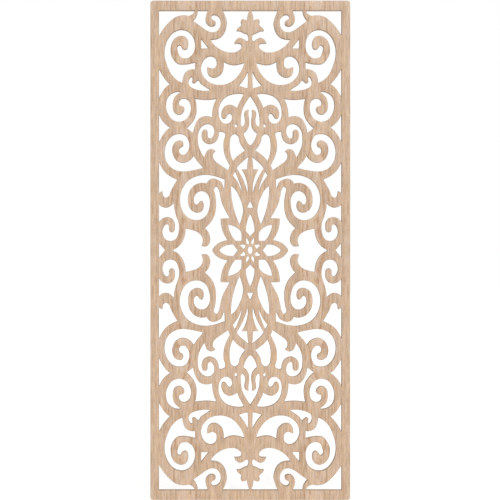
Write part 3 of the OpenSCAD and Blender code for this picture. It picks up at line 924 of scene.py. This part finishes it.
patch = remap(oak, noise(oak, swayed, PATCH_RATES, 4.0, 0.7), PATCH_FROM, PATCH_TO, smooth=True)
on_ring = remap(oak, ring, RING_FROM, RING_TO, OFF_RING, 1.0, smooth=True)
near_crown = times(given["Crown"], remap(oak, in_crown, 0.0, 1.0, OFF_CROWN, 1.0))
flecks = times(times(patch, on_ring), near_crown)
warmth = blend_numbers(oak, WARM_SPOTS, noise(oak, swayed, WARM_BAND_RATES, 2.0, 0.6),
                       noise(oak, where, WARM_SPOT_RATES, 1.0, 0.5))
print("Group", oak.name, "has", len(oak.nodes), "nodes so far")

# %% [markdown]
# For a near look there are pores, long and narrow. A pore is where one more noise passes a limit, which is
# lower in the early wood, so the pores stand closest there. They lie deeper than the rest, and the hairs give
# the surface a little relief.

# %% Pores and what the group gives back
PORE_RATES = (3300.0, 400.0, 170.0)
EARLY_WOOD, LATE_WOOD = -0.15, 0.6
EARLY_LIMIT, LATE_LIMIT = 0.60, 0.67
PORE_EDGE = 0.07
HAIR_RELIEF = 0.35

limit = remap(oak, number(oak, "ADD", ring, band), EARLY_WOOD, LATE_WOOD, EARLY_LIMIT, LATE_LIMIT)
above = number(oak, "SUBTRACT", noise(oak, swayed, PORE_RATES, 1.0, 0.4), limit)
pore = times(remap(oak, above, 0.0, PORE_EDGE), given["Pores"])
height = plus(HAIR_RELIEF, hair, times(pore, -1.0))
figure = {"Tone": tone, "Flecks": flecks, "Warmth": warmth, "Pore": pore, "Height": height}
for label, value in figure.items():
    oak.links.new(value, result[label])
print("Group", oak.name, "gives", ", ".join(figure))

# %% [markdown]
# ## Finishes
# Every finish on the panel starts from one surface shader and the piece's own coordinates. It ends with a
# colour, a roughness and a relief that are joined to that shader.

# %% Helpers for finishes
BUMP_STRENGTH = 0.5


def new_finish(name):
    """A material with its surface shader, and the object's own coordinates."""
    material = bpy.data.materials.new(name)
    material.use_nodes = True
    tree = material.node_tree
    tree.nodes.clear()
    surface = add(tree, "ShaderNodeBsdfPrincipled")
    add(tree, "ShaderNodeOutputMaterial", {"Surface": surface.outputs[0]})
    return material, tree, surface, add(tree, "ShaderNodeTexCoord").outputs["Object"]


def dress(tree, surface, colour, roughness, height, depth):
    """Joins colour and roughness to the surface, and relief too fine for the mesh, in metres."""
    bump = add(tree, "ShaderNodeBump", {"Strength": BUMP_STRENGTH, "Distance": depth, "Height": height})
    for socket, value in (("Base Color", colour), ("Roughness", roughness), ("Normal", bump.outputs[0])):
        tree.links.new(value, surface.inputs[socket])


print("Relief is shown at a strength of", BUMP_STRENGTH)

# %% [markdown]
# The oak's colour varies only by what the figure tells it: the tone moves between a dark and a light oak, the
# warmth between a greyer and a more orange one, and flecks and pores darken it. The front is pale, with a
# matt lacquer. The back isn't seen in the photograph, so it gets a plainer oak that is a little darker and
# rougher. It has two leaves only, so its figure isn't folded at the level line.

# %% Finish of an oak face
TONE_REACH = 0.5
GREY_TINT = (0.94, 1.0, 1.14, 1.0)
ORANGE_TINT = (1.06, 1.0, 0.87, 1.0)
FLECK, FLECK_STRENGTH = rgb(172, 128, 92), 0.85
PORE, PORE_STRENGTH, PORE_ROUGHER = rgb(128, 96, 68), 0.6, 0.2
GRAIN_RELIEF = 0.00006


def oak_finish(name, tones, roughness, fold_level=0.0, shift=(0.0, 0.0, 0.0), **strengths):
    """A veneer of sliced oak. Its tones are dark, middle and light."""
    material, tree, surface, here = new_finish(name)
    at_leaf = place(tree, matched, {"Vector": here, "Fold level line": fold_level, "Shift": shift}).outputs[0]
    figure = place(tree, oak, {"Vector": at_leaf, **strengths}).outputs
    ramp = add(tree, "ShaderNodeValToRGB", {0: remap(tree, figure["Tone"], -TONE_REACH, TONE_REACH)})
    stops = ramp.color_ramp.elements
    stops[0].position, stops[0].color = 0.0, tones[0]
    stops[1].position, stops[1].color = 1.0, tones[2]
    stops.new(0.5).color = tones[1]
    tint = blend(tree, spread(tree, figure["Warmth"]), GREY_TINT, ORANGE_TINT)
    colour = blend(tree, 1.0, ramp.outputs[0], tint, "MULTIPLY")
    colour = cover(tree, figure["Flecks"], FLECK_STRENGTH, colour, FLECK)
    colour = cover(tree, figure["Pore"], PORE_STRENGTH, colour, PORE)
    rough = remap(tree, figure["Pore"], 0.0, 1.0, roughness, roughness + PORE_ROUGHER)
    dress(tree, surface, colour, rough, figure["Height"], GRAIN_RELIEF)
    return material


front_oak = oak_finish("front_oak", (rgb(158, 130, 101), rgb(206, 176, 148), rgb(230, 205, 181)),
                       roughness=0.52, fold_level=1.0, Streaks=0.68)
back_oak = oak_finish("back_oak", (rgb(168, 132, 98), rgb(202, 171, 138), rgb(222, 195, 165)),
                      roughness=0.6, shift=(0.37, 0.0, 2.3), Bands=1.2, Crown=0.5)
print("Finishes:", front_oak.name, back_oak.name)

# %% [markdown]
# ## Cut edges
# Where the saw and the sandpaper went, the veneer shows its edge as a darker line with the same streaks, and
# the fibreboard shows packed fibres: grey-brown, closer and darker near its faces. A cutter leaves short
# marks across both, and here and there it scorches them. A light that falls flat along the wall brings the
# marks out, so they are relief and not colour.

# %% Group for the cutter's marks
RIDGE_RATES = (1300.0, 60.0, 1300.0)
SCORCH_RATES, SCORCH_FROM, SCORCH_TO = (38.0, 12.0, 38.0), 0.52, 0.72

marks, given, result = new_group("cutter_marks", "ShaderNodeTree",
                                 [("Vector", "NodeSocketVector", None), ("Rate", "NodeSocketFloat", 1.0)],
                                 [("Marks", "NodeSocketFloat"), ("Scorch", "NodeSocketFloat")])
at_rate = scaled(marks, given["Vector"], given["Rate"])
marks.links.new(noise(marks, at_rate, RIDGE_RATES, 1.0, 0.4), result["Marks"])
burn = remap(marks, noise(marks, at_rate, SCORCH_RATES), SCORCH_FROM, SCORCH_TO, smooth=True)
marks.links.new(burn, result["Scorch"])
print("Group", marks.name, "has", len(marks.nodes), "nodes")

# %% Finish of a veneer's edge
SCORCH = rgb(120, 92, 66)
EDGE_TONE_REACH = 0.4
EDGE_SCORCH = 0.35
EDGE_ROUGHNESS = (0.55, 0.75)
EDGE_RELIEF = 0.00005


def veneer_edge(name, pale, dark):
    """The sawn and eased edge of a leaf of oak."""
    material, tree, surface, here = new_finish(name)
    figure = place(tree, oak, {"Vector": here}).outputs
    cutter = place(tree, marks, {"Vector": here}).outputs
    colour = blend(tree, remap(tree, figure["Tone"], -EDGE_TONE_REACH, EDGE_TONE_REACH), dark, pale)
    colour = cover(tree, cutter["Scorch"], EDGE_SCORCH, colour, SCORCH)
    dress(tree, surface, colour, spread(tree, cutter["Marks"], *EDGE_ROUGHNESS), cutter["Marks"], EDGE_RELIEF)
    return material


front_edge = veneer_edge("front_oak_edge", rgb(168, 148, 128), rgb(136, 116, 96))
back_edge = veneer_edge("back_oak_edge", rgb(160, 138, 116), rgb(128, 106, 84))
print("Finishes:", front_edge.name, back_edge.name)

# %% Finish of the fibreboard
FIBRE_RATES = (900.0, 2200.0, 900.0)
SPECK_RATES, SPECK_FROM, SPECK_TO = (1700.0, 1700.0, 1700.0), 0.62, 0.72
DARK_FIBRE, PALE_FIBRE = rgb(184, 164, 143), rgb(212, 194, 174)
DENSE_FIBRE, DENSE_FROM, DENSE_STRENGTH = rgb(138, 113, 88), 0.35, 0.45
SPECK, SPECK_STRENGTH = rgb(120, 98, 76), 0.5
BOARD_SCORCH = 0.3
BOARD_ROUGHNESS = (0.95, 0.8)
FIBRE_RELIEF, BOARD_RELIEF = 0.5, 0.0001


def fibreboard(name):
    """Packed wood fibre, closer and darker towards the board's two faces."""
    material, tree, surface, here = new_finish(name)
    cutter = place(tree, marks, {"Vector": here}).outputs
    middle, half = (panel_low.y + panel_high.y) / 2, (panel_high.y - panel_low.y) / 2
    off_middle = number(tree, "ABSOLUTE", number(tree, "SUBTRACT", axes(tree, here)[1], middle))
    near_face = remap(tree, off_middle, DENSE_FROM * half, half, smooth=True)
    fibres = noise(tree, here, FIBRE_RATES, 3.0, 0.65)
    specks = remap(tree, noise(tree, here, SPECK_RATES, 1.0), SPECK_FROM, SPECK_TO)
    colour = blend(tree, spread(tree, fibres), DARK_FIBRE, PALE_FIBRE)
    colour = cover(tree, near_face, DENSE_STRENGTH, colour, DENSE_FIBRE)
    colour = cover(tree, specks, SPECK_STRENGTH, colour, SPECK)
    colour = cover(tree, cutter["Scorch"], BOARD_SCORCH, colour, SCORCH)
    relief = number(tree, "MULTIPLY_ADD", fibres, FIBRE_RELIEF, cutter["Marks"])
    dress(tree, surface, colour, spread(tree, fibres, *BOARD_ROUGHNESS), relief, BOARD_RELIEF)
    return material


core_finish = fibreboard("fibreboard")
print("Finishes:", core_finish.name)

# %% [markdown]
# ## Edge profiles
# Sandpaper takes the sharpness off the two outer edges of every window and of the panel. The ease goes into
# the oak only, so the core's profile is a straight line. The board's back lies on the wall plane, y = 0.

# %% Draw the profiles
EASE = 0.5 * MM
EASE_STEPS = 3


def edge_profile(name, thickness, ease_back, ease_front):
    """The section of a cut wall, from the sheet's back to its front. Across is into the wood."""
    turns = [math.radians(90 * step / EASE_STEPS) for step in range(EASE_STEPS + 1)]
    spots = []
    if ease_back:
        spots += [(ease_back * (1 - math.sin(a)), ease_back * (1 - math.cos(a))) for a in turns[:-1]]
    spots += [(0.0, ease_back), (0.0, thickness - ease_front)]
    if ease_front:
        spots += [(ease_front * (1 - math.cos(a)), thickness - ease_front * (1 - math.sin(a)))
                  for a in turns[1:]]
    return curve_tool(name, [[(across, -up) for across, up in spots]], closed_lines=False)


core_back, core_front = -panel_high.y, -panel_low.y
leaf_front = -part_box("face_leaf_top_left")[0].y
front_profile = edge_profile("front_profile", leaf_front - core_front, 0.0, EASE)
core_profile = edge_profile("core_profile", core_front - core_back, 0.0, 0.0)
back_profile = edge_profile("back_profile", core_back, EASE, 0.0)
for label, thickness in (("front veneer", leaf_front - core_front), ("core", core_front - core_back),
                         ("back veneer", core_back)):
    print("The", label, "is", round(thickness / MM, 2), "mm thick")

# %% [markdown]
# ## Sawing the three layers
# The same group saws all three layers, so their walls are flush. An input is set by its socket's identifier,
# before the object is first evaluated. The result becomes a plain mesh, and the tools are deleted.

# %% Saw the layers
SMOOTH_BELOW = math.radians(22.0)


def sheet_mesh(name, profile_tool, depth, face_finish, cut_finish):
    """A sawn sheet as a plain mesh."""
    base = curve_tool(name + "_lines", [sawn_line(OVAL_WINDOW), panel_edge()])
    saw = base.modifiers.new("saw", "NODES")
    saw.node_group = sawn_sheet
    wanted = {"Quarter lines": quarter_lines, "Upright lines": upright_lines, "Level lines": level_lines,
              "Edge profile": profile_tool, "Depth": depth,
              "Face finish": face_finish, "Cut finish": cut_finish}
    for socket in sawn_sheet.interface.items_tree:
        if socket.item_type == "SOCKET" and socket.in_out == "INPUT" and socket.name in wanted:
            saw[socket.identifier] = wanted[socket.name]
    graph = bpy.context.evaluated_depsgraph_get()
    mesh = bpy.data.meshes.new_from_object(base.evaluated_get(graph), depsgraph=graph)
    base.modifiers.remove(saw)
    bpy.data.objects.remove(base)
    mesh.name = name
    slots = [cut_finish] if face_finish == cut_finish else [cut_finish, face_finish]
    worn = [slots.index(mesh.materials[face.material_index]) for face in mesh.polygons]
    mesh.materials.clear()
    for finish in slots:
        mesh.materials.append(finish)
    mesh.polygons.foreach_set("material_index", worn)
    for face in mesh.polygons:
        face.use_smooth = True
    mesh.set_sharp_from_angle(angle=SMOOTH_BELOW)
    print(name, "has", len(mesh.polygons), "faces")
    return mesh


front_sheet = sheet_mesh("front_sheet", front_profile, core_front, front_oak, front_edge)
core_sheet = sheet_mesh("core_sheet", core_profile, core_back, core_finish, core_finish)
back_sheet = sheet_mesh("back_sheet", back_profile, 0.0, back_oak, back_edge)
for tool in (quarter_lines, upright_lines, level_lines, front_profile, core_profile, back_profile):
    bpy.data.objects.remove(tool)

# %% [markdown]
# ## Parting the veneers
# The front veneer is four leaves that meet on the centre lines, and the back veneer is two. Each leaf is a
# copy of its sheet cut at the planes x = 0 and z = 0. The open ends are closed, so every leaf is a solid of
# its own.

# %% Cut a leaf from a sheet
CENTRE = (0.0, 0.0, 0.0)
CUT_TOLERANCE = 1e-7


def leaf_mesh(sheet, name, sides):
    """The part of a sheet on the given sides of the centre lines, closed where it was cut."""
    work = bmesh.new()
    work.from_mesh(sheet)
    for side in sides:
        everything = work.verts[:] + work.edges[:] + work.faces[:]
        cut_line = bmesh.ops.bisect_plane(work, geom=everything, dist=CUT_TOLERANCE, plane_co=CENTRE,
                                          plane_no=side, clear_inner=True)["geom_cut"]
        rims = [e for e in cut_line if isinstance(e, bmesh.types.BMEdge) and e.is_boundary]
        for end in bmesh.ops.edgeloop_fill(work, edges=rims)["faces"]:
            if end.normal.dot(Vector(side)) > 0:
                end.normal_flip()
    mesh = bpy.data.meshes.new(name)
    work.to_mesh(mesh)
    work.free()
    for material in sheet.materials:
        mesh.materials.append(material)
    mesh.set_sharp_from_angle(angle=SMOOTH_BELOW)
    return mesh


print("Every leaf is cut at the planes through", CENTRE)

# %% [markdown]
# Each finished piece takes the place of its CAD node. Nothing on the panel moves, so all of them belong to
# the one body of the model, its root.

# %% Fit the pieces
def fit_piece(name, mesh, node):
    """Puts a finished piece in the scene in place of its CAD node."""
    piece = bpy.data.objects.new(name, mesh)
    bpy.context.scene.collection.objects.link(piece)
    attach(piece, "root")
    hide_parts(node)
    print(name, "has", len(mesh.polygons), "faces and stands for", node)


HANDS = (("left", (-1, 0, 0)), ("right", (1, 0, 0)))
LEVELS = (("top", (0, 0, 1)), ("bottom", (0, 0, -1)))
for level, side_z in LEVELS:
    for hand, side_x in HANDS:
        leaf = leaf_mesh(front_sheet, f"front_veneer_{level}_{hand}", (side_x, side_z))
        fit_piece(leaf.name, leaf, f"face_leaf_{level}_{hand}")
for hand, side_x in HANDS:
    leaf = leaf_mesh(back_sheet, f"back_veneer_{hand}", (side_x,))
    fit_piece(leaf.name, leaf, f"back_leaf_{hand}")
fit_piece("sawn_core", core_sheet, "core_board")

# %% [markdown]
# ## The CAD's size
# The dressed panel is meant to keep the CAD's size, and here the CAD's box is printed.

# %% Print the CAD's box
print("CAD box", [[round(c, 4) for c in corner] for corner in cad_box])
